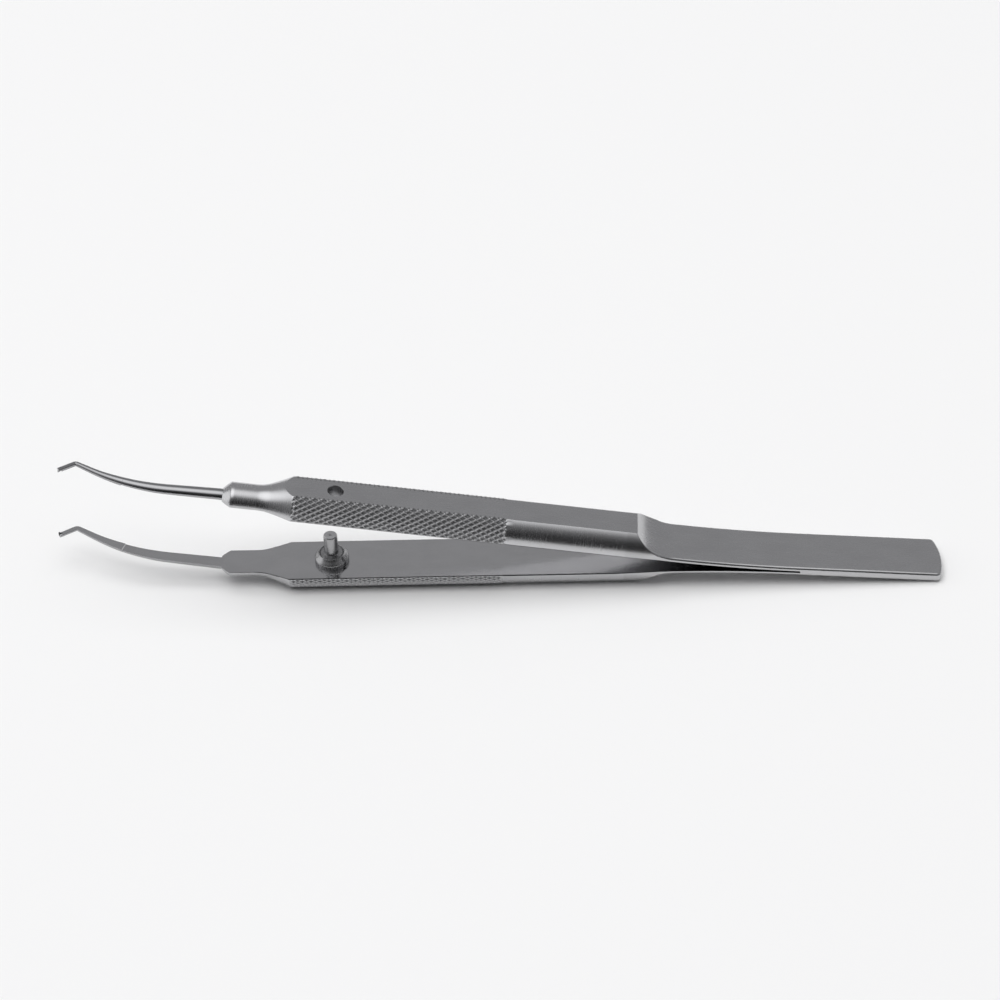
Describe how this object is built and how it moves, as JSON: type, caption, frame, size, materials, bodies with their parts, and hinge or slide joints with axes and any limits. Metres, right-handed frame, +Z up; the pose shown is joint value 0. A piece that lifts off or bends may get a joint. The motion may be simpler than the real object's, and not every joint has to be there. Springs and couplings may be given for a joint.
{
  "type": "colibri forceps",
  "caption": "Micro forceps with angled toothed tips, half-round knurled handles, a guide pin and flat leaf springs joined at the tail.",
  "frame": {"origin": "on the outer flat of the lower arm, on the axis of the guide pin", "axes": "+X along the lower arm toward the tail, +Y to the side the tips bend to, +Z up along the guide pin toward the upper arm"},
  "size_m": [0.1101, 0.009, 0.0154],
  "materials": {
    "satin_steel": "satin, ground along the length",
    "bright_steel": "bright turned"
  },
  "bodies": {
    "tail": {"tail": "satin_steel", "upper_leaf_spring": "satin_steel", "lower_leaf_spring": "satin_steel"},
    "upper_arm": {"upper_arm": "satin_steel"},
    "lower_arm": {"lower_arm": "satin_steel", "guide_pin": "bright_steel"}
  },
  "joints": [
    {"name": "upper_arm_flex", "type": "hinge", "parent": "tail", "child": "upper_arm", "pos_m": [0.05012, 0, 0.00331], "axis": [0, -1, 0], "range_deg": [0, 3.52], "stiffness_Nm_per_rad": 0.9, "deforming": ["upper_leaf_spring"]},
    {"name": "lower_arm_flex", "type": "hinge", "parent": "tail", "child": "lower_arm", "pos_m": [0.05004, 0, 0.00228], "axis": [0, 1, 0], "range_deg": [0, 3.52], "stiffness_Nm_per_rad": 0.9, "deforming": ["lower_leaf_spring"]}
  ]
}
